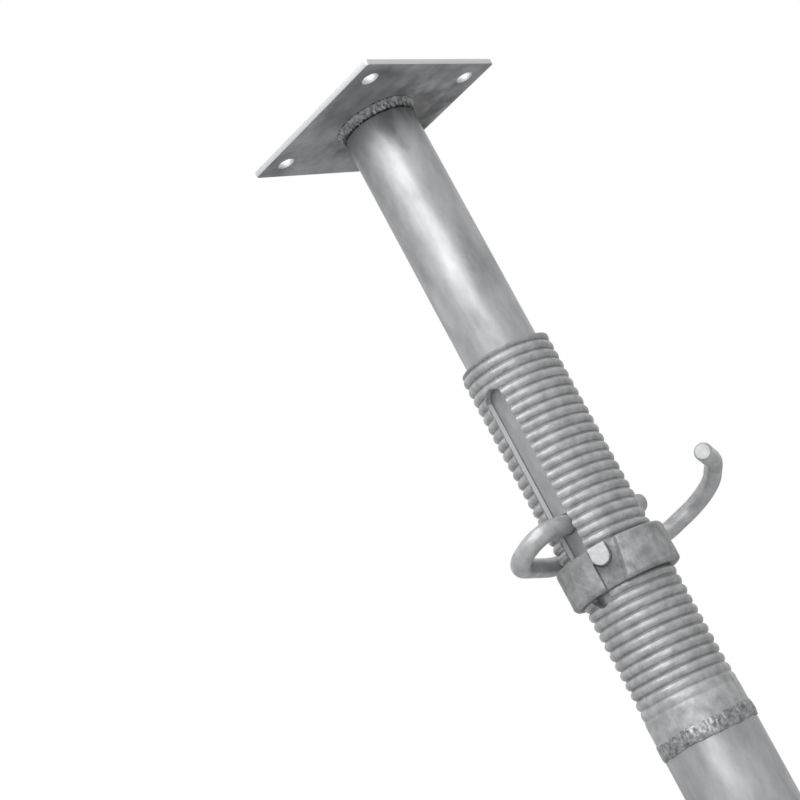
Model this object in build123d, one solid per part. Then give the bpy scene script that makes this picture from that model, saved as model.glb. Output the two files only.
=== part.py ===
from build123d import *
import os
from math import cos, floor, radians, sin

# Telescopic steel prop, the upright that carries formwork. A thin inner tube slides in a
# wider outer tube, a pin through both holds the coarse height, and a nut on the outer
# tube's threaded sleeve sets the fine height. Millimetres, +Z up along the tubes, origin
# at the middle of the base plate's underside. The pin and the slot lie along X.

# End plates
plate_side = 120
plate_thickness = 4
plate_corner_r = 2
plate_hole_d = 11
plate_hole_spacing = 90

# Tubes; the outer one follows from the inner one, the spigot between them and the gaps
outer_wall = 3
inner_d = 48.3
inner_wall = 3
inner_length = 1000

# The pose shown: the inner tube's foot above the base plate, and the length that stands out
inner_foot_gap = 74
reach_above_sleeve = 178

# Threaded sleeve, joined to the outer tube by a spigot and a ring of weld
sleeve_wall = 3.7
thread_depth = 1.8
thread_pitch = 6.5
thread_ridge_width = 5.2
thread_length = 224
first_crest_drop = 3.6
neck_step = 0.25
neck_length = 31
spigot_wall = 2.5
spigot_length = 30
spigot_gap = 0.15
sleeve_gap = 0.35

# Slot through both sides of the sleeve
slot_width = 15
slot_length = 148
slot_drop = 19

# Pin and its holes
pin_d = 12
pin_drop = 112.5
pin_hole_d = 13
hole_pitch = 100
hole_end_margin = 60
shank_reach = 52
hook_tilt = 18
pin_nose_chamfer = 1.2

# Collar nut
nut_wall = 5.1
nut_height = 26
nut_below_pin = 15.2
nut_gap = 0.4
nut_chamfer = 1.5
recess_width = 16
recess_depth = 3.2
recess_azimuth = -150
recess_count = 2
boss_d = 12.6
boss_drop = 7.6
boss_setback = 0.3

# Guide ring at the inner tube's lower end, which the sleeve's spigot stops
ring_gap = 0.3
ring_length = 22
ring_foot = 4

# Welds
plate_weld_leg = 6
weld_face_share = 0.45
sleeve_weld_height = 11
sleeve_weld_bulge = 1.6

# Sizes that follow from the ones above
sleeve_bore_d = inner_d + 2 * sleeve_gap
outer_d = sleeve_bore_d + 2 * (spigot_wall + spigot_gap + outer_wall)
neck_d = outer_d + 2 * neck_step
thread_crest_d = sleeve_bore_d + 2 * (sleeve_wall + thread_depth)
nut_d = thread_crest_d + 2 * (nut_gap + nut_wall)
outer_r = outer_d / 2
outer_bore_r = outer_r - outer_wall
inner_r = inner_d / 2
inner_bore_r = inner_r - inner_wall
sleeve_bore_r = sleeve_bore_d / 2
spigot_r = outer_bore_r - spigot_gap
neck_r = neck_d / 2
crest_r = thread_crest_d / 2
root_r = crest_r - thread_depth
inner_foot_z = plate_thickness + inner_foot_gap
plate_top_z = inner_foot_z + inner_length
sleeve_top = plate_top_z - reach_above_sleeve
thread_foot_z = sleeve_top - thread_length
shoulder_z = thread_foot_z - neck_length
pin_z = sleeve_top - pin_drop
slot_top_z = sleeve_top - slot_drop
pin_r = pin_d / 2
nut_r = nut_d / 2
nut_top_z = pin_z - pin_r - nut_below_pin
nut_foot_z = nut_top_z - nut_height
ring_r = outer_bore_r - ring_gap

LOW = (Align.CENTER, Align.CENTER, Align.MIN)


def tube(low_z, high_z, r_out, r_in):
    """A round tube about the Z axis."""
    height = high_z - low_z
    solid = Cylinder(r_out, height, align=LOW) - Cylinder(r_in, height, align=LOW)
    return Pos(0, 0, low_z) * solid


def plate(low_z):
    """A square end plate with its four bolt holes."""
    blank = Box(plate_side, plate_side, plate_thickness, align=LOW)
    blank = fillet(blank.edges().filter_by(Axis.Z), plate_corner_r)
    drill = Cylinder(plate_hole_d / 2, plate_thickness, align=LOW)
    holes = GridLocations(plate_hole_spacing, plate_hole_spacing, 2, 2) * drill
    return Pos(0, 0, low_z) * (blank - holes)


def fillet_weld(tube_r, plate_z, side):
    """A ring of weld in the corner between a tube and a plate, above it or below it."""
    leg = side * plate_weld_leg
    outline = Polyline(
        (tube_r + plate_weld_leg, plate_z),
        (tube_r, plate_z),
        (tube_r, plate_z + leg),
    )
    hollow = plate_weld_leg * weld_face_share
    face_line = ThreePointArc(
        (tube_r, plate_z + leg),
        (tube_r + hollow, plate_z + side * hollow),
        (tube_r + plate_weld_leg, plate_z),
    )
    return revolve(Plane.XZ * make_face(outline + face_line), Axis.Z)


def sleeve_blank():
    """The sleeve before its slot: rounded thread turns, plain neck, shoulder and spigot."""
    half = thread_ridge_width / 2
    turns = floor((thread_length - first_crest_drop - half) / thread_pitch) + 1
    path = Line((sleeve_bore_r, sleeve_top), (root_r, sleeve_top))
    foot = (root_r, sleeve_top)
    for turn in range(turns):
        crest_z = sleeve_top - first_crest_drop - turn * thread_pitch
        path += Line(foot, (root_r, crest_z + half))
        path += ThreePointArc((root_r, crest_z + half), (crest_r, crest_z), (root_r, crest_z - half))
        foot = (root_r, crest_z - half)
    path += Polyline(
        foot,
        (root_r, thread_foot_z),
        (neck_r, thread_foot_z - (neck_r - root_r)),
        (neck_r, shoulder_z),
        (spigot_r, shoulder_z),
        (spigot_r, shoulder_z - spigot_length),
        (sleeve_bore_r, shoulder_z - spigot_length),
        (sleeve_bore_r, sleeve_top),
    )
    return revolve(Plane.XZ * make_face(path), Axis.Z)


def threaded_sleeve():
    """The sleeve with the slot that the pin travels in, cut through both sides."""
    cutter = extrude(Plane.YZ * Rot(0, 0, 90) * SlotOverall(slot_length, slot_width), neck_r * 2, both=True)
    return sleeve_blank() - Pos(0, 0, slot_top_z - slot_length / 2) * cutter


def sleeve_weld():
    """The raised ring of weld where the sleeve's neck meets the outer tube."""
    half = sleeve_weld_height / 2
    outline = Polyline(
        (outer_r, shoulder_z - half),
        (outer_r, shoulder_z),
        (neck_r, shoulder_z),
        (neck_r, shoulder_z + half),
    )
    crown = ThreePointArc(
        (neck_r, shoulder_z + half),
        (neck_r + sleeve_weld_bulge, shoulder_z),
        (outer_r, shoulder_z - half),
    )
    return revolve(Plane.XZ * make_face(outline + crown), Axis.Z)


def inner_tube():
    """The sliding tube, with its row of pin holes along X."""
    solid = tube(inner_foot_z, plate_top_z, inner_r, inner_bore_r)
    count = floor((pin_z - inner_foot_z - hole_end_margin) / hole_pitch) + 1
    drill = Rot(0, 90, 0) * Cylinder(pin_hole_d / 2, inner_d * 2)
    for hole in range(count):
        solid -= Pos(0, 0, pin_z - hole * hole_pitch) * drill
    return solid


def guide_ring():
    """The ring on the tube's lower end that centres it and keeps it from being pulled out."""
    low_z = inner_foot_z + ring_foot
    return tube(low_z, low_z + ring_length, ring_r, inner_r)


def collar_nut():
    """The cast nut: a thick ring with two recesses, each with a round boss under its top edge."""
    solid = Cylinder(nut_r, nut_height, align=LOW)
    solid = chamfer(solid.edges().filter_by(GeomType.CIRCLE), nut_chamfer)
    floor_r = nut_r - recess_depth
    channel = Pos(floor_r, 0, 0) * Box(
        nut_r, recess_width, nut_height, align=(Align.MIN, Align.CENTER, Align.MIN)
    )
    boss_r = boss_d / 2
    boss_z = nut_height - boss_drop
    boss_length = recess_depth - boss_setback
    boss = Pos(floor_r, 0, boss_z) * Rot(0, 90, 0) * Cylinder(boss_r, boss_length, align=LOW)
    web = Pos(floor_r, 0, boss_z) * Box(
        boss_length, boss_d, boss_drop - nut_chamfer, align=(Align.MIN, Align.CENTER, Align.MIN)
    )
    for index in range(recess_count):
        turn = Rot(0, 0, recess_azimuth + index * 360 / recess_count)
        solid -= turn * channel
        solid += turn * (boss + web)
    solid -= Cylinder(crest_r + nut_gap, nut_height, align=LOW)
    return Pos(0, 0, nut_foot_z) * solid


# The pin's bends, in its own plane: reach along X, and how far the hook stands off the shank
bend_reach = 51
bend_width = 30.5
back_rise = 41
back_start = 10
hook_shoulder = (115, 50)
hook_far = (140.5, 9)
hook_lip = (113.4, -23.6)
tip_end = (88, -36.8)
bend_radii = [15, 15, 60, 25, 31, 40]


def g_pin():
    """One round bar: a straight shank, a tight bend and a wide hook that clears the nut."""
    corners = [
        (shank_reach, 0),
        (-bend_reach, 0),
        (-bend_reach, bend_width),
        (-back_start, back_rise),
        hook_shoulder,
        hook_far,
        hook_lip,
        tip_end,
    ]
    c = cos(radians(hook_tilt))
    s = sin(radians(hook_tilt))
    points = [(x, w * c, pin_z - w * s) for x, w in corners]
    route = FilletPolyline(*points, radius=bend_radii)
    end = Plane(origin=route @ 0, z_dir=route % 0)
    bar = sweep(end * Circle(pin_r), path=route)
    noses = bar.faces().filter_by(GeomType.PLANE).edges()
    return chamfer(noses, pin_nose_chamfer)


parts = {
    "base_plate": plate(0),
    "base_weld": fillet_weld(outer_r, plate_thickness, 1),
    "outer_tube": tube(plate_thickness, shoulder_z, outer_r, outer_bore_r),
    "sleeve_weld": sleeve_weld(),
    "threaded_sleeve": threaded_sleeve(),
    "collar_nut": collar_nut(),
    "g_pin": g_pin(),
    "inner_tube": inner_tube(),
    "guide_ring": guide_ring(),
    "top_weld": fillet_weld(inner_r, plate_top_z, -1),
    "top_plate": plate(plate_top_z),
}

os.makedirs("parts", exist_ok=True)
for name, solid in parts.items():
    export_step(solid, f"parts/{name}.step")
    print(name, "valid" if solid.is_valid else "not valid", round(solid.volume))
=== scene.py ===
from math import asin, atan2, cos, pi, radians, sin, tau

import bmesh
import bpy
from mathutils import Matrix, Vector, noise


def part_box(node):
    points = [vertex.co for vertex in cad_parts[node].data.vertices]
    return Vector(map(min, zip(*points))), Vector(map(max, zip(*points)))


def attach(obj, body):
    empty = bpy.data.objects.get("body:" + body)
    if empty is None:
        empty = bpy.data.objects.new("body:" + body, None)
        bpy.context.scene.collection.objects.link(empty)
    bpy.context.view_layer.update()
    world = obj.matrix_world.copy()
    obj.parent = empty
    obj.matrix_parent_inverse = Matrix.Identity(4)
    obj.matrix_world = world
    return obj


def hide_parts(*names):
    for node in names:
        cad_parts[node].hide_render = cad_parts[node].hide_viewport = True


# Telescopic steel prop: hot-dip galvanised tubes and plates, a threaded sleeve, a cast
# collar nut and a hooked pin. Metres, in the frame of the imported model, +Z up the tubes.

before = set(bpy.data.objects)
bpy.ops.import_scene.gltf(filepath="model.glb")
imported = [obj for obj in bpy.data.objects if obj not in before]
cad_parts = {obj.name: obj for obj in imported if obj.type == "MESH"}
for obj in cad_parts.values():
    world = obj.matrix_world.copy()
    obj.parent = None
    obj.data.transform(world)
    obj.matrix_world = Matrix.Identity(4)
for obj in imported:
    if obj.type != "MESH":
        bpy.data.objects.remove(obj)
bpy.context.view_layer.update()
MM = 0.001

# Thread, with the solids' pitch, crest and depth and a fuller ridge; it falls to the right
# as seen from outside. A gap round it widens each ridge by less than it lifts the crest.
PITCH = 6.5 * MM
CREST_R = 30.0 * MM
THREAD_DEPTH = 1.8 * MM
RIDGE_WIDTH = 5.8 * MM
FLANK_SHARE = 0.6
CREST_DROP_AT_X = 1.8 * MM
RUN_OUT_START = 222.0 * MM
RUN_OUT_LENGTH = 18.0 * MM
NUT_THREAD_GAP = 0.35 * MM

# Sleeve
SLEEVE_WALL_GAP = 0.35 * MM
SPIGOT_INSET = 3.15 * MM
SLOT_WIDTH = 15.0 * MM
SLOT_LENGTH = 148.0 * MM
SLOT_DROP = 19.0 * MM

# How finely round shapes are divided
TURN_STEPS = 80
RIDGE_STEPS = 8
ROUND_STEPS = 128
HOLE_STEPS = 48

# How far cutters reach past what they cut, and how close points are to count as one
CUT_BEYOND = 2.0 * MM
BORE_BEYOND = 5.0 * MM
MERGE_DIST = 1e-6
TURN_MERGE_DIST = 2e-6
PLANE_DIST = 1e-7

sleeve_low, sleeve_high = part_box("threaded_sleeve")
inner_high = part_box("inner_tube")[1]
outer_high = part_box("outer_tube")[1]
nut_low, nut_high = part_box("collar_nut")
base_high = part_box("base_plate")[1]
SLEEVE_TOP = sleeve_high.z
SHOULDER = outer_high.z
PLATE_UNDERSIDE = inner_high.z
BASE_TOP = base_high.z
INNER_R = inner_high.x
OUTER_R = outer_high.x
NECK_R = sleeve_high.x
NUT_R = -nut_low.x
ROOT_R = CREST_R - THREAD_DEPTH
SLEEVE_BORE_R = INNER_R + SLEEVE_WALL_GAP


def mesh_piece(name, bm, body, node, material, smooth_angle=35):
    """Makes a bmesh a finished piece that rides on a body and stands for a CAD node."""
    mesh = bpy.data.meshes.new(name)
    bm.to_mesh(mesh)
    bm.free()
    piece = bpy.data.objects.new(name, mesh)
    bpy.context.scene.collection.objects.link(piece)
    mesh.materials.append(material)
    mesh.shade_smooth()
    mesh.set_sharp_from_angle(angle=radians(smooth_angle))
    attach(piece, body)
    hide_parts(node)


def lathe(profile, steps=ROUND_STEPS, bored=True):
    """A round solid from (radius, height) points; with no bore they start and end on the axis."""
    bm = bmesh.new()
    line = [bm.verts.new((r, 0, z)) for r, z in profile]
    ends = line[1:] + line[:1] if bored else line[1:]
    edges = [bm.edges.new(pair) for pair in zip(line, ends)]
    bmesh.ops.spin(
        bm, geom=line + edges, cent=(0, 0, 0), axis=(0, 0, 1), angle=tau, steps=steps,
        use_merge=True,
    )
    bmesh.ops.remove_doubles(bm, verts=bm.verts, dist=MERGE_DIST)
    bmesh.ops.recalc_face_normals(bm, faces=bm.faces)
    return bm


def cut(bm, cutter, operation="DIFFERENCE"):
    """The bmesh after one boolean with another; both are used up."""
    made = []
    for label, source in (("blank", bm), ("cutter", cutter)):
        mesh = bpy.data.meshes.new(label)
        source.to_mesh(mesh)
        source.free()
        thing = bpy.data.objects.new(label, mesh)
        bpy.context.scene.collection.objects.link(thing)
        made.append(thing)
    modifier = made[0].modifiers.new("cut", "BOOLEAN")
    modifier.operation = operation
    modifier.solver = "MANIFOLD"
    modifier.object = made[1]
    done = made[0].evaluated_get(bpy.context.evaluated_depsgraph_get())
    result = bmesh.new()
    result.from_mesh(done.to_mesh())
    done.to_mesh_clear()
    for thing in made:
        bpy.data.meshes.remove(thing.data)
    return result


def threaded_rod(low_z, high_z, grow):
    """A solid rod with the sleeve's thread on it, grown all over by a gap where it is a cutter."""
    root = ROOT_R + grow
    half = RIDGE_WIDTH / 2 + grow * FLANK_SHARE
    height = THREAD_DEPTH
    radius = (half * half + height * height) / (2 * height)
    sweep = asin(half / radius)
    first = SLEEVE_TOP - CREST_DROP_AT_X
    turns_up = int((high_z - first) / PITCH) + 2
    top_crest = first + turns_up * PITCH
    turns = int((top_crest - low_z) / PITCH) + 2
    bm = bmesh.new()
    points = [(root, top_crest + PITCH / 2)]
    for step in range(RIDGE_STEPS + 1):
        a = sweep - 2 * sweep * step / RIDGE_STEPS
        points.append((root + height - radius + radius * cos(a), top_crest + radius * sin(a)))
    points.append((root, top_crest - PITCH / 2))
    line = [bm.verts.new((r, 0, z)) for r, z in points]
    edges = [bm.edges.new(pair) for pair in zip(line, line[1:])]
    bmesh.ops.spin(
        bm,
        geom=line + edges,
        cent=(0, 0, 0),
        axis=(0, 0, 1),
        dvec=(0, 0, -PITCH / TURN_STEPS),
        angle=tau,
        steps=TURN_STEPS,
    )
    one_turn = bm.verts[:] + bm.edges[:] + bm.faces[:]
    for turn in range(1, turns):
        copy = bmesh.ops.duplicate(bm, geom=one_turn)["geom"]
        verts = [item for item in copy if isinstance(item, bmesh.types.BMVert)]
        bmesh.ops.translate(bm, verts=verts, vec=(0, 0, -PITCH * turn))
    bmesh.ops.remove_doubles(bm, verts=bm.verts, dist=TURN_MERGE_DIST)
    for z, up in ((high_z, 1), (low_z, -1)):
        bmesh.ops.bisect_plane(
            bm, geom=bm.verts[:] + bm.edges[:] + bm.faces[:], dist=PLANE_DIST,
            plane_co=(0, 0, z), plane_no=(0, 0, up), clear_outer=True,
        )
    rims = [e for e in bm.edges if e.is_boundary]
    bmesh.ops.holes_fill(bm, edges=rims, sides=0)
    bmesh.ops.recalc_face_normals(bm, faces=bm.faces)
    return bm


def round_bar(radius, low, high, steps=ROUND_STEPS):
    """A solid cylinder between two points."""
    bm = bmesh.new()
    low = Vector(low)
    high = Vector(high)
    turn = (high - low).to_track_quat("Z", "Y").to_matrix().to_4x4()
    place = Matrix.Translation((low + high) / 2) @ turn
    bmesh.ops.create_cone(
        bm, cap_ends=True, segments=steps, radius1=radius, radius2=radius,
        depth=(high - low).length, matrix=place,
    )
    return bm


def box(low, high):
    """A solid box between two corners."""
    bm = bmesh.new()
    low = Vector(low)
    high = Vector(high)
    size = Matrix.Diagonal((*(high - low), 1))
    bmesh.ops.create_cube(bm, size=1, matrix=Matrix.Translation((low + high) / 2) @ size)
    return bm


# Materials

# A colour Mix node's sockets by number, because its number and vector sockets share their
# names: the share, the lower colour and the result. The upper colour is i7.
SHARE = 0
LOW = 6
MIXED = 2

# Noise values at which zinc is darkest and lightest, and dullest and shiniest
DARK_AT, LIGHT_AT = 0.34, 0.66
DULL_AT, SHINY_AT = 0.3, 0.7
DULLER, SHINIER = 0.07, 0.06
NOISE_MIDDLE = 0.5

# Pointiness of a flat place and of a hollow one, between which hollows get a painted shade
FLAT_BEND, HOLLOW_BEND = 0.5, 0.44


def linear(code):
    """A hex colour as the eye sees it, turned to the renderer's linear values."""
    parts = [int(code[i:i + 2], 16) / 255 for i in (1, 3, 5)]
    return [c / 12.92 if c <= 0.04045 else ((c + 0.055) / 1.055) ** 2.4 for c in parts] + [1]


def add(tree, kind, links=(), **settings):
    """Adds a node, sets its sockets and properties, and links (output, socket) pairs in.

    A setting is a socket's or property's name, or i and a socket's number, such as i1.
    """
    node = tree.nodes.new(kind)
    for key, value in settings.items():
        if key in node.inputs:
            node.inputs[key].default_value = value
        elif hasattr(node, key):
            setattr(node, key, value)
        else:
            node.inputs[int(key[1:])].default_value = value
    for output, socket in links:
        tree.links.new(output, node.inputs[socket])
    return node


def lay_over(tree, tone, colour, value, start, full, cover=1.0):
    """The tone with a colour laid over it, more and more as a value goes from start to full."""
    share = add(
        tree, "ShaderNodeMapRange", [(value, "Value")], interpolation_type="SMOOTHSTEP",
        **{"From Min": start, "From Max": full, "To Max": cover},
    )
    mixed = add(
        tree, "ShaderNodeMix", [(share.outputs["Result"], SHARE), (tone, LOW)],
        data_type="RGBA", i7=linear(colour),
    )
    return mixed.outputs[MIXED]


def from_axis(tree, place, centre_x=0.0):
    """The distance from an upright line that stands on the X axis."""
    flat = add(
        tree, "ShaderNodeMapping", [(place.outputs["Object"], "Vector")],
        Location=(-centre_x, 0, 0), Scale=(1, 1, 0),
    )
    far = add(tree, "ShaderNodeVectorMath", [(flat.outputs["Vector"], 0)], operation="LENGTH")
    return far.outputs["Value"]


def wander(tree, value, cloud, reach):
    """A distance that wanders to and fro with the clouds in the zinc."""
    drift = add(tree, "ShaderNodeMath", [(cloud, 0)], operation="SUBTRACT", i1=NOISE_MIDDLE)
    moved = add(
        tree, "ShaderNodeMath", [(drift.outputs[0], 0), (value, 2)],
        operation="MULTIPLY_ADD", i1=reach,
    )
    return moved.outputs[0]


def zinc(
    name, dark, light, roughness, patch_mm, streak, wave_mm, wave_depth_mm, grit_mm,
    grit_depth_mm, metal, hollow_shade=None, overlay=None,
):
    """Hot-dip zinc: cloudy patches of tone, soft waves in the skin and a fine grit on it."""
    material = bpy.data.materials.new(name)
    material.use_nodes = True
    tree = material.node_tree
    tree.nodes.clear()
    place = add(tree, "ShaderNodeTexCoord")
    stretch = add(
        tree, "ShaderNodeMapping", [(place.outputs["Object"], "Vector")], Scale=(1, 1, streak)
    )
    patches = add(
        tree, "ShaderNodeTexNoise", [(stretch.outputs["Vector"], "Vector")],
        Scale=1 / (patch_mm * MM), Detail=7.0, Roughness=0.62,
    )
    waves = add(
        tree, "ShaderNodeTexNoise", [(stretch.outputs["Vector"], "Vector")],
        Scale=1 / (wave_mm * MM), Detail=2.0, Roughness=0.5,
    )
    grains = add(
        tree, "ShaderNodeTexNoise", [(place.outputs["Object"], "Vector")],
        Scale=1 / (grit_mm * MM), Detail=3.0, Roughness=0.6,
    )
    cloud = patches.outputs["Fac"]
    shades = add(tree, "ShaderNodeValToRGB", [(cloud, "Fac")])
    stops = ((DARK_AT, dark), (LIGHT_AT, light))
    for element, (noise_value, colour) in zip(shades.color_ramp.elements, stops):
        element.position = noise_value
        element.color = linear(colour)
    tone = shades.outputs["Color"]
    # Painted shade: hollows, found by their pointiness, are painted darker, as shade in them
    if hollow_shade:
        bend = add(tree, "ShaderNodeNewGeometry").outputs["Pointiness"]
        tone = lay_over(tree, tone, hollow_shade, bend, FLAT_BEND, HOLLOW_BEND)
    if overlay:
        tone = overlay(tree, place, cloud, tone)
    gloss = add(
        tree, "ShaderNodeMapRange", [(cloud, "Value")],
        **{
            "From Min": DULL_AT, "From Max": SHINY_AT,
            "To Min": roughness + DULLER, "To Max": roughness - SHINIER,
        },
    )
    swell = add(
        tree, "ShaderNodeBump", [(waves.outputs["Fac"], "Height")],
        Strength=1.0, Distance=wave_depth_mm * MM,
    )
    skin = add(
        tree, "ShaderNodeBump",
        [(grains.outputs["Fac"], "Height"), (swell.outputs["Normal"], "Normal")],
        Strength=1.0, Distance=grit_depth_mm * MM,
    )
    shader = add(
        tree, "ShaderNodeBsdfPrincipled",
        [
            (tone, "Base Color"),
            (gloss.outputs["Result"], "Roughness"),
            (skin.outputs["Normal"], "Normal"),
        ],
        Metallic=metal,
    )
    add(tree, "ShaderNodeOutputMaterial", [(shader.outputs["BSDF"], "Surface")])
    return material


# Painted shade: the plate is painted darker round the tube, most on the side away from the slot,
# and the tube's top end is painted darker as the plate's shadow
SHADE_CENTRE_X = 14.0 * MM
PLATE_SHADE_END = 46.0 * MM
PLATE_SHADE_FULL = 24.0 * MM
PLATE_SHADE_WANDER = 60.0 * MM
PLATE_SHADE_COVER = 0.8
TUBE_SHADE_END = 26.0 * MM
TUBE_SHADE_FULL = 4.0 * MM
TUBE_SHADE_WANDER = 80.0 * MM
TUBE_SHADE_COVER = 0.75

# How far a plate's surface faces up or down where its painted edge highlight starts, and where it
# is full
EDGE_START, EDGE_FULL = 0.7, 0.3

# Depths under the nut's side between which the recess gets its painted shade, and heights over
# it between which the boss gets its painted highlight
RECESS_SHADE_START, RECESS_SHADE_FULL = 3.2 * MM, 4.0 * MM
RECESS_SHADE_COVER = 0.5
BOSS_HIGHLIGHT_START, BOSS_HIGHLIGHT_FULL = 0.3 * MM, 0.6 * MM

# How exactly a point lies on the slot's wall, and how far over the thread's root it still counts
SLOT_WALL_MARGIN = 0.1 * MM
SLOT_ROOT_MARGIN = 0.3 * MM


def plate_shade_and_edge_highlight(tree, place, cloud, tone):
    """Sheared and punched edges: a brighter coat and a painted highlight on the side faces;
    painted shade round the tube on the face.
    """
    far = wander(tree, from_axis(tree, place, SHADE_CENTRE_X), cloud, PLATE_SHADE_WANDER)
    # Painted shade: the plate's face is painted darker round the tube
    tone = lay_over(
        tree, tone, "#414243", far, PLATE_SHADE_END, PLATE_SHADE_FULL, PLATE_SHADE_COVER
    )
    # Painted highlight, on a brighter coat: the faces that look sideways are painted lighter
    split = add(tree, "ShaderNodeSeparateXYZ", [(place.outputs["Normal"], "Vector")])
    level = add(tree, "ShaderNodeMath", [(split.outputs["Z"], 0)], operation="ABSOLUTE")
    return lay_over(tree, tone, "#d4d5d6", level.outputs[0], EDGE_START, EDGE_FULL)


def boss_highlight_and_recess_shade(tree, place, cloud, tone):
    """Painted light on the nut: a painted highlight on the boss, and painted shade on its recess
    floor.
    """
    far = from_axis(tree, place)
    # Painted shade: the recess floor, deeper than the nut's side, is painted darker
    tone = lay_over(
        tree, tone, "#5e5f60", far, NUT_R - RECESS_SHADE_START, NUT_R - RECESS_SHADE_FULL,
        RECESS_SHADE_COVER,
    )
    # Painted highlight: the boss's face, proud of the nut's side, is painted bright
    return lay_over(
        tree, tone, "#cacbcc", far, NUT_R + BOSS_HIGHLIGHT_START, NUT_R + BOSS_HIGHLIGHT_FULL
    )


def painted_plate_shadow(tree, place, cloud, tone):
    """Painted shadow: the tube's top end, under the plate, painted darker."""
    where = add(tree, "ShaderNodeSeparateXYZ", [(place.outputs["Object"], "Vector")])
    height = wander(tree, where.outputs["Z"], cloud, TUBE_SHADE_WANDER)
    start = PLATE_UNDERSIDE - TUBE_SHADE_END
    full = PLATE_UNDERSIDE - TUBE_SHADE_FULL
    # Painted shadow of the plate on the tube's top end
    return lay_over(tree, tone, "#4b4c4d", height, start, full, TUBE_SHADE_COVER)


def slot_walls(tree, place, cloud, tone):
    """The walls of the sawn slot, brighter than the thread outside them."""
    where = add(tree, "ShaderNodeSeparateXYZ", [(place.outputs["Object"], "Vector")])
    aside = add(tree, "ShaderNodeMath", [(where.outputs["Y"], 0)], operation="ABSOLUTE")
    on_wall = add(
        tree, "ShaderNodeMath", [(aside.outputs[0], 0)],
        operation="COMPARE", i1=SLOT_WIDTH / 2, i2=SLOT_WALL_MARGIN,
    )
    inside = add(
        tree, "ShaderNodeMath", [(from_axis(tree, place), 0)],
        operation="LESS_THAN", i1=ROOT_R + SLOT_ROOT_MARGIN,
    )
    above_end = add(
        tree, "ShaderNodeMath", [(where.outputs["Z"], 0)],
        operation="GREATER_THAN", i1=SLEEVE_TOP - SLOT_DROP - SLOT_LENGTH,
    )
    wall = add(
        tree, "ShaderNodeMath", [(on_wall.outputs[0], 0), (inside.outputs[0], 1)],
        operation="MULTIPLY",
    )
    slot_wall = add(
        tree, "ShaderNodeMath", [(wall.outputs[0], 0), (above_end.outputs[0], 1)],
        operation="MULTIPLY",
    )
    return lay_over(tree, tone, "#e8e9ea", slot_wall.outputs[0], 0, 1)


# Galvanised tube: bright zinc, clouded where it drained from the bath, with a painted shadow of
# the plate at its top end
tube_zinc = zinc(
    "galvanised_tube_zinc", "#8e8f91", "#bcbdbe", roughness=0.4, patch_mm=26, streak=0.4,
    wave_mm=20, wave_depth_mm=0.5, grit_mm=0.6, grit_depth_mm=0.01, metal=0.5,
    overlay=painted_plate_shadow,
)
# Galvanised plate: dull zinc with cloudy grey patches, painted shade round the tube, and a
# brighter coat with a painted highlight on its sheared edges
plate_zinc = zinc(
    "galvanised_plate_zinc", "#7c7d7f", "#acadaf", roughness=0.5, patch_mm=30, streak=1,
    wave_mm=16, wave_depth_mm=0.25, grit_mm=0.6, grit_depth_mm=0.015, metal=0.5,
    overlay=plate_shade_and_edge_highlight,
)
# Galvanised rolled thread: bright crests, painted shade in the roots, brighter in the slot
thread_zinc = zinc(
    "galvanised_thread_zinc", "#9a9b9c", "#c0c1c2", roughness=0.36, patch_mm=7, streak=1,
    wave_mm=4, wave_depth_mm=0.16, grit_mm=0.5, grit_depth_mm=0.015, metal=0.2,
    hollow_shade="#58595a", overlay=slot_walls,
)
# Galvanised bar: smooth bright zinc with soft runs
bar_zinc = zinc(
    "galvanised_bar_zinc", "#a2a3a4", "#c4c5c6", roughness=0.36, patch_mm=9, streak=1,
    wave_mm=8, wave_depth_mm=0.12, grit_mm=0.6, grit_depth_mm=0.01, metal=0.25,
)
# Galvanised sand casting: dull and pitted, with painted shade in its corners and recesses and a
# painted highlight on the boss
cast_zinc = zinc(
    "galvanised_cast_iron", "#88898a", "#b2b3b4", roughness=0.52, patch_mm=8, streak=1,
    wave_mm=3, wave_depth_mm=0.2, grit_mm=0.7, grit_depth_mm=0.05, metal=0.2,
    hollow_shade="#2e2f30", overlay=boss_highlight_and_recess_shade,
)
# Galvanised weld metal: lumpy, bright on top of its ripples, with painted shade between them
weld_zinc = zinc(
    "galvanised_weld_metal", "#5c5d5e", "#a8a9aa", roughness=0.34, patch_mm=2.5, streak=1,
    wave_mm=1.6, wave_depth_mm=0.1, grit_mm=0.5, grit_depth_mm=0.03, metal=0.6,
    hollow_shade="#1c1c1d",
)


def rough(bm, size, depth, seed=0):
    """Pushes each vertex along its normal by smooth noise, for cast and rolled skins."""
    bm.normal_update()
    shift = Vector((seed, seed, seed))
    moves = [(v, v.normal * depth * noise.noise(v.co / size + shift)) for v in bm.verts]
    for v, move in moves:
        v.co += move


# Threaded sleeve: helical thread that runs out into a plain neck, and a spigot below

RIDGE_LUMP = 4.0 * MM
RIDGE_LUMP_DEPTH = 0.12 * MM


def run_out(bm):
    """Fades the thread into the plain neck over its last turns."""
    start = SLEEVE_TOP - RUN_OUT_START
    for v in bm.verts:
        share = min(max((start - v.co.z) / RUN_OUT_LENGTH, 0), 1)
        r = v.co.xy.length
        if share > 0 and r > ROOT_R / 2:
            wanted = r + (NECK_R - r) * share
            v.co.x *= wanted / r
            v.co.y *= wanted / r


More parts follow.
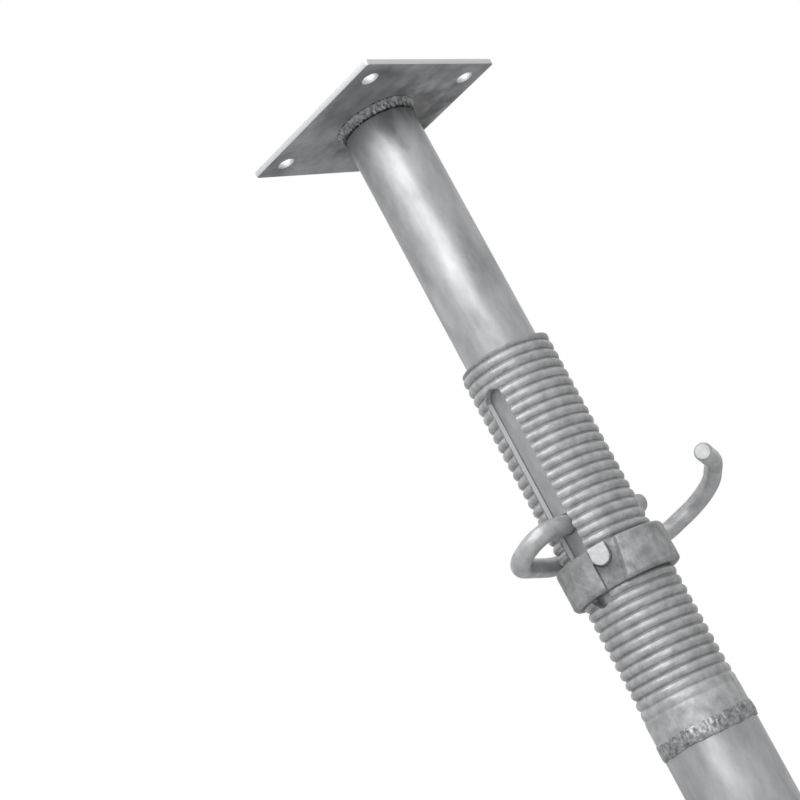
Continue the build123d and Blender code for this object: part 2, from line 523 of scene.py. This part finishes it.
def threaded_sleeve():
    """The sleeve with its thread, neck, spigot and bore, and the slot that the pin travels in."""
    body = threaded_rod(SHOULDER, SLEEVE_TOP, 0.0)
    run_out(body)
    rough(body, RIDGE_LUMP, RIDGE_LUMP_DEPTH)
    spigot_top = (0, 0, SHOULDER + BORE_BEYOND)
    spigot = round_bar(OUTER_R - SPIGOT_INSET, (0, 0, sleeve_low.z), spigot_top)
    body = cut(body, spigot, "UNION")
    high = SLEEVE_TOP - SLOT_DROP - SLOT_WIDTH / 2
    low = SLEEVE_TOP - SLOT_DROP - SLOT_LENGTH + SLOT_WIDTH / 2
    reach = 2 * NECK_R
    slot = box((-reach, -SLOT_WIDTH / 2, low), (reach, SLOT_WIDTH / 2, high))
    for z in (low, high):
        slot_end = round_bar(SLOT_WIDTH / 2, (-reach, 0, z), (reach, 0, z), HOLE_STEPS)
        slot = cut(slot, slot_end, "UNION")
    body = cut(body, slot)
    bore_foot = (0, 0, sleeve_low.z - BORE_BEYOND)
    bore_top = (0, 0, SLEEVE_TOP + BORE_BEYOND)
    return cut(body, round_bar(SLEEVE_BORE_R, bore_foot, bore_top))


# Collar nut: a sand casting, with two recesses that each hold a round boss

NUT_CHAMFER = 1.5 * MM
RECESS_AZIMUTH = -150
RECESS_DEPTH = 4.4 * MM
RECESS_LEFT = 8.0 * MM
RECESS_RIGHT_TOP = 10.3 * MM
RECESS_RIGHT_FOOT = 3.7 * MM
RECESS_RIGHT_SLOPE = 5.0 * MM
BOSS_R = 5.6 * MM
BOSS_DROP = 7.0 * MM
BOSS_ASIDE = -1.7 * MM
BOSS_PROUD = 0.9 * MM
CAST_VOXEL = 0.5 * MM
CAST_SMOOTHING = 4
# Size, depth and seed of the sand's coarse lumps and fine grain
CAST_SKINS = ((6.0 * MM, 0.22 * MM, 0), (1.6 * MM, 0.14 * MM, 7))


def remeshed(bm, voxel, smoothing):
    """One even skin over a solid, with its edges rounded by smoothing."""
    mesh = bpy.data.meshes.new("casting")
    bm.to_mesh(mesh)
    bm.free()
    thing = bpy.data.objects.new("casting", mesh)
    bpy.context.scene.collection.objects.link(thing)
    modifier = thing.modifiers.new("skin", "REMESH")
    modifier.mode = "VOXEL"
    modifier.voxel_size = voxel
    done = thing.evaluated_get(bpy.context.evaluated_depsgraph_get())
    result = bmesh.new()
    result.from_mesh(done.to_mesh())
    done.to_mesh_clear()
    bpy.data.meshes.remove(mesh)
    for _ in range(smoothing):
        bmesh.ops.smooth_vert(
            result, verts=result.verts, factor=0.5,
            use_axis_x=True, use_axis_y=True, use_axis_z=True,
        )
    return result


def recess_cutter(low, high):
    """What is taken out of the nut's side: upright on the left, leaning in on the right."""
    cutter = box(
        (NUT_R - RECESS_DEPTH, -RECESS_LEFT, low - CUT_BEYOND),
        (NUT_R + CUT_BEYOND, RECESS_RIGHT_TOP, high + CUT_BEYOND),
    )
    for v in cutter.verts:
        if v.co.y > 0:
            if v.co.z < low:
                v.co.y = RECESS_RIGHT_FOOT
            if v.co.x > NUT_R:
                v.co.y += RECESS_RIGHT_SLOPE
    return cutter


def boss(high):
    """The round boss in a recess, carried straight up to the nut's top edge."""
    z = high - BOSS_DROP
    root = NUT_R / 2
    face = NUT_R + BOSS_PROUD
    knob = round_bar(BOSS_R, (root, BOSS_ASIDE, z), (face, BOSS_ASIDE, z), HOLE_STEPS)
    web = box((root, BOSS_ASIDE - BOSS_R, z), (face, BOSS_ASIDE + BOSS_R, high))
    return knob, web


def collar_nut():
    """The cast nut: chamfered ring, two recesses with their bosses, sand skin, cut thread."""
    low = nut_low.z
    high = nut_high.z
    blank = lathe(
        [
            (0, high),
            (NUT_R - NUT_CHAMFER, high),
            (NUT_R, high - NUT_CHAMFER),
            (NUT_R, low + NUT_CHAMFER),
            (NUT_R - NUT_CHAMFER, low),
            (0, low),
        ],
        bored=False,
    )
    for turn in (0, 180):
        spin = Matrix.Rotation(radians(RECESS_AZIMUTH + turn), 4, "Z")
        recess = recess_cutter(low, high)
        knob, web = boss(high)
        for shape in (recess, knob, web):
            shape.transform(spin)
        blank = cut(blank, recess)
        blank = cut(blank, cut(knob, web, "UNION"), "UNION")
    casting = remeshed(blank, CAST_VOXEL, CAST_SMOOTHING)
    for size, depth, seed in CAST_SKINS:
        rough(casting, size, depth, seed)
    return cut(casting, threaded_rod(low - CUT_BEYOND, high + CUT_BEYOND, NUT_THREAD_GAP))


# Welds: rings of molten metal with ripples and lumps

WELD_STEPS = 360
RIPPLE_LEAN = 2.0 * MM
LUMP_SIZE = 2.2 * MM
SPATTER_SIZE = 1.0 * MM
SPATTER_SHARE = 0.5
SAG_SIZE = 1.7 * MM
SAG_SHARE = 0.8
SAG_SEED = (3, 1)
SWELLS_ROUND = 2.5
SWAYS_ROUND = 0.9
WELD_ON_TUBE = 6.5 * MM
WELD_ON_PLATE = 3.4 * MM


def weld_ring(outline, first, last, ripples, ripple, lump, wavering, seed, sway=0.0):
    """A weld bead round the prop; only the outline's points between first and last move."""
    fixed = [r_z for index, r_z in enumerate(outline) if not first < index < last]
    bm = lathe(outline, WELD_STEPS)
    for v in bm.verts:
        r = v.co.xy.length
        if any(abs(r - pr) + abs(v.co.z - pz) < MERGE_DIST for pr, pz in fixed):
            continue
        azimuth = atan2(v.co.y, v.co.x)
        outwards = Vector((cos(azimuth), sin(azimuth), 0))
        around = outwards * seed
        swell = noise.noise(around * SWELLS_ROUND) * wavering
        wave = abs(sin(ripples * azimuth / 2 + v.co.z / RIPPLE_LEAN))
        spatter = SPATTER_SHARE * noise.noise(v.co / SPATTER_SIZE)
        knob = noise.noise(v.co / LUMP_SIZE + around) + spatter
        v.co += outwards * (ripple * wave + lump * knob + swell)
        sag = noise.noise(v.co / SAG_SIZE + Vector((*SAG_SEED, seed)))
        v.co.z += lump * SAG_SHARE * sag
        v.co.z += sway * noise.noise(around * SWAYS_ROUND + Vector((0, 0, seed)))
    bmesh.ops.recalc_face_normals(bm, faces=bm.faces)
    return bm


def corner_weld(tube_r, plate_z, side, seed):
    """The fillet of weld between a tube and its end plate, above the plate or below it."""
    steps = 9
    buried = 0.5 * MM
    hollow = 0.85
    outline = [(tube_r - buried, plate_z), (tube_r - buried, plate_z + side * WELD_ON_TUBE)]
    for step in range(steps + 1):
        a = step / steps * pi / 2
        outline.append(
            (
                tube_r + WELD_ON_PLATE * (1 - cos(a) ** hollow),
                plate_z + side * WELD_ON_TUBE * (1 - sin(a) ** hollow),
            )
        )
    outline.append((tube_r + WELD_ON_PLATE, plate_z))
    outline = [point for i, point in enumerate(outline) if i == 0 or point != outline[i - 1]]
    return weld_ring(
        outline, 1, len(outline) - 2, ripples=46, ripple=0.35 * MM, lump=0.55 * MM,
        wavering=0.3 * MM, seed=seed,
    )


def ring_weld():
    """The raised and ragged weld between the sleeve's neck and the outer tube."""
    height = 10.0 * MM
    bulge = 1.1 * MM
    fullness = 0.6
    overhang = 2.0 * MM
    sunk = 0.2 * MM
    inside = OUTER_R - 1.0 * MM
    steps = 10
    outline = [(inside, SHOULDER + height / 2), (inside, SHOULDER - height / 2)]
    for step in range(steps + 1):
        a = pi * step / steps
        z = SHOULDER - height / 2 * cos(a) - overhang * sin(a)
        outline.append((OUTER_R - sunk + bulge * sin(a) ** fullness, z))
    return weld_ring(
        outline, 2, len(outline) - 1, ripples=34, ripple=0.15 * MM, lump=0.4 * MM,
        wavering=0.35 * MM, seed=5, sway=1.6 * MM,
    )


# End plates, with the edges a little worn by the dip

PLATE_CORNER = 2.0 * MM
CORNER_SEGMENTS = 6
PLATE_HOLE_R = 5.5 * MM
PLATE_HOLE_OFFSET = 45.0 * MM
EDGE_ROUND = 0.5 * MM
EDGE_SEGMENTS = 2
UPRIGHT_RISE = 1.0 * MM
FLAT_ANGLE = radians(1)
SHARP_ANGLE = radians(60)


def end_plate(node):
    """A square end plate in the place of its CAD node, with rounded corners and bolt holes."""
    low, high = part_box(node)
    plate = box(low, high)
    upright = [e for e in plate.edges if abs(e.verts[0].co.z - e.verts[1].co.z) > UPRIGHT_RISE]
    bmesh.ops.bevel(
        plate, geom=upright, offset=PLATE_CORNER, offset_type="OFFSET",
        segments=CORNER_SEGMENTS, profile=0.5, affect="EDGES", material=-1,
    )
    drill_low = low.z - CUT_BEYOND
    drill_high = high.z + CUT_BEYOND
    for x in (-PLATE_HOLE_OFFSET, PLATE_HOLE_OFFSET):
        for y in (-PLATE_HOLE_OFFSET, PLATE_HOLE_OFFSET):
            drill = round_bar(PLATE_HOLE_R, (x, y, drill_low), (x, y, drill_high), HOLE_STEPS)
            plate = cut(plate, drill)
    bmesh.ops.dissolve_limit(
        plate, angle_limit=FLAT_ANGLE, verts=plate.verts, edges=plate.edges, delimit=set()
    )
    sharp = [e for e in plate.edges if e.calc_face_angle(0) > SHARP_ANGLE]
    bmesh.ops.bevel(
        plate, geom=sharp, offset=EDGE_ROUND, offset_type="OFFSET",
        segments=EDGE_SEGMENTS, profile=0.5, affect="EDGES", material=-1,
    )
    return plate


CAST_SMOOTH_ANGLE = 60
WELD_SMOOTH_ANGLE = 80

mesh_piece(
    "threaded_sleeve_helix", threaded_sleeve(), "outer",
    "threaded_sleeve", thread_zinc,
)
mesh_piece(
    "collar_nut_casting", collar_nut(), "nut", "collar_nut", cast_zinc,
    CAST_SMOOTH_ANGLE,
)
mesh_piece(
    "top_weld_bead", corner_weld(INNER_R, PLATE_UNDERSIDE, -1, seed=3), "inner",
    "top_weld", weld_zinc, WELD_SMOOTH_ANGLE,
)
mesh_piece(
    "base_weld_bead", corner_weld(OUTER_R, BASE_TOP, 1, seed=4), "outer",
    "base_weld", weld_zinc, WELD_SMOOTH_ANGLE,
)
mesh_piece(
    "sleeve_weld_bead", ring_weld(), "outer", "sleeve_weld", weld_zinc,
    WELD_SMOOTH_ANGLE,
)
for node, body in (("top_plate", "inner"), ("base_plate", "outer")):
    mesh_piece(node + "_worn", end_plate(node), body, node, plate_zinc)

for node, material in (
    ("inner_tube", tube_zinc),
    ("outer_tube", tube_zinc),
    ("guide_ring", tube_zinc),
    ("g_pin", bar_zinc),
):
    for material_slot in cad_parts[node].material_slots:
        material_slot.material = material


# Stage, light and camera

WHITE = (1, 1, 1, 1)
PAPER_ROUGHNESS = 0.9
FLOOR_GLOW = 0.38
FLOOR_REACH = 6.0
WORLD_FILL = 0.18


def background_rays(tree):
    """1 for the rays that show the background: the camera's, the metal's and the glass's."""
    rays = add(tree, "ShaderNodeLightPath").outputs
    seen = add(
        tree, "ShaderNodeMath", [(rays["Is Camera Ray"], 0), (rays["Is Glossy Ray"], 1)],
        operation="ADD",
    )
    shown = add(
        tree, "ShaderNodeMath", [(seen.outputs[0], 0), (rays["Is Transmission Ray"], 1)],
        operation="ADD", use_clamp=True,
    )
    return shown.outputs[0]


def floor_paper(colour, glow):
    """White studio paper: it takes the prop's shadow, and looks pale to the eye and in metal."""
    material = bpy.data.materials.new("floor_paper")
    material.use_nodes = True
    tree = material.node_tree
    shader = tree.nodes["Principled BSDF"]
    shader.inputs["Base Color"].default_value = linear(colour)
    shader.inputs["Roughness"].default_value = PAPER_ROUGHNESS
    shader.inputs["Emission Color"].default_value = WHITE
    strength = add(
        tree, "ShaderNodeMath", [(background_rays(tree), 0)], operation="MULTIPLY", i1=glow
    )
    tree.links.new(strength.outputs[0], shader.inputs["Emission Strength"])
    return material


floor_bm = bmesh.new()
bmesh.ops.create_grid(floor_bm, x_segments=1, y_segments=1, size=FLOOR_REACH)
floor_mesh = bpy.data.meshes.new("floor")
floor_bm.to_mesh(floor_mesh)
floor_bm.free()
floor = bpy.data.objects.new("floor", floor_mesh)
floor_mesh.materials.append(floor_paper("#e9e9e9", FLOOR_GLOW))
bpy.context.scene.collection.objects.link(floor)

# A little even light from all round, and plain white to the eye and in the metal
world = bpy.data.worlds.new("studio")
bpy.context.scene.world = world
world.use_nodes = True
sky = world.node_tree
sky.nodes.clear()
fill = add(sky, "ShaderNodeBackground", Color=WHITE, Strength=WORLD_FILL)
white = add(sky, "ShaderNodeBackground", Color=WHITE, Strength=1.0)
mixed = add(
    sky, "ShaderNodeMixShader",
    [(background_rays(sky), 0), (fill.outputs[0], 1), (white.outputs[0], 2)],
)
add(sky, "ShaderNodeOutputWorld", [(mixed.outputs[0], "Surface")])

LAMP_AIM = Vector((0, 0, 0.85))


def softbox(name, azimuth, elevation, distance, width, height, power):
    """A soft rectangular lamp at a compass angle round the prop, turned to face it."""
    data = bpy.data.lights.new(name, "AREA")
    data.shape = "RECTANGLE"
    data.size = width
    data.size_y = height
    data.energy = power
    lamp = bpy.data.objects.new(name, data)
    a = radians(azimuth)
    e = radians(elevation)
    place = Vector((cos(e) * cos(a), cos(e) * sin(a), sin(e))) * distance + LAMP_AIM
    lamp.location = place
    lamp.rotation_euler = (LAMP_AIM - place).to_track_quat("-Z", "Y").to_euler()
    bpy.context.scene.collection.objects.link(lamp)


softbox("key", azimuth=-182, elevation=42, distance=2.2, width=0.7, height=0.9, power=11)
softbox("front", azimuth=-146, elevation=20, distance=2.4, width=1.7, height=2.4, power=28)
softbox("top", azimuth=-150, elevation=72, distance=2.0, width=1.2, height=1.2, power=14)

# Camera: the photograph's place, turn and lens, found from the plate's corners and the tubes
CAMERA_PLACE = (-0.95659, -0.71742, 0.5954)
CAMERA_TURN_DEG = (106.436, 26.686, -42.274)
CAMERA_LENS = 90.0
CAMERA_SENSOR = 36.0
camera_data = bpy.data.cameras.new("camera")
camera_data.lens = CAMERA_LENS
camera_data.sensor_width = CAMERA_SENSOR
camera = bpy.data.objects.new("camera", camera_data)
camera.location = CAMERA_PLACE
camera.rotation_euler = [radians(angle) for angle in CAMERA_TURN_DEG]
bpy.context.scene.collection.objects.link(camera)
bpy.context.scene.camera = camera
bpy.context.scene.view_settings.view_transform = "Standard"

bpy.context.view_layer.update()
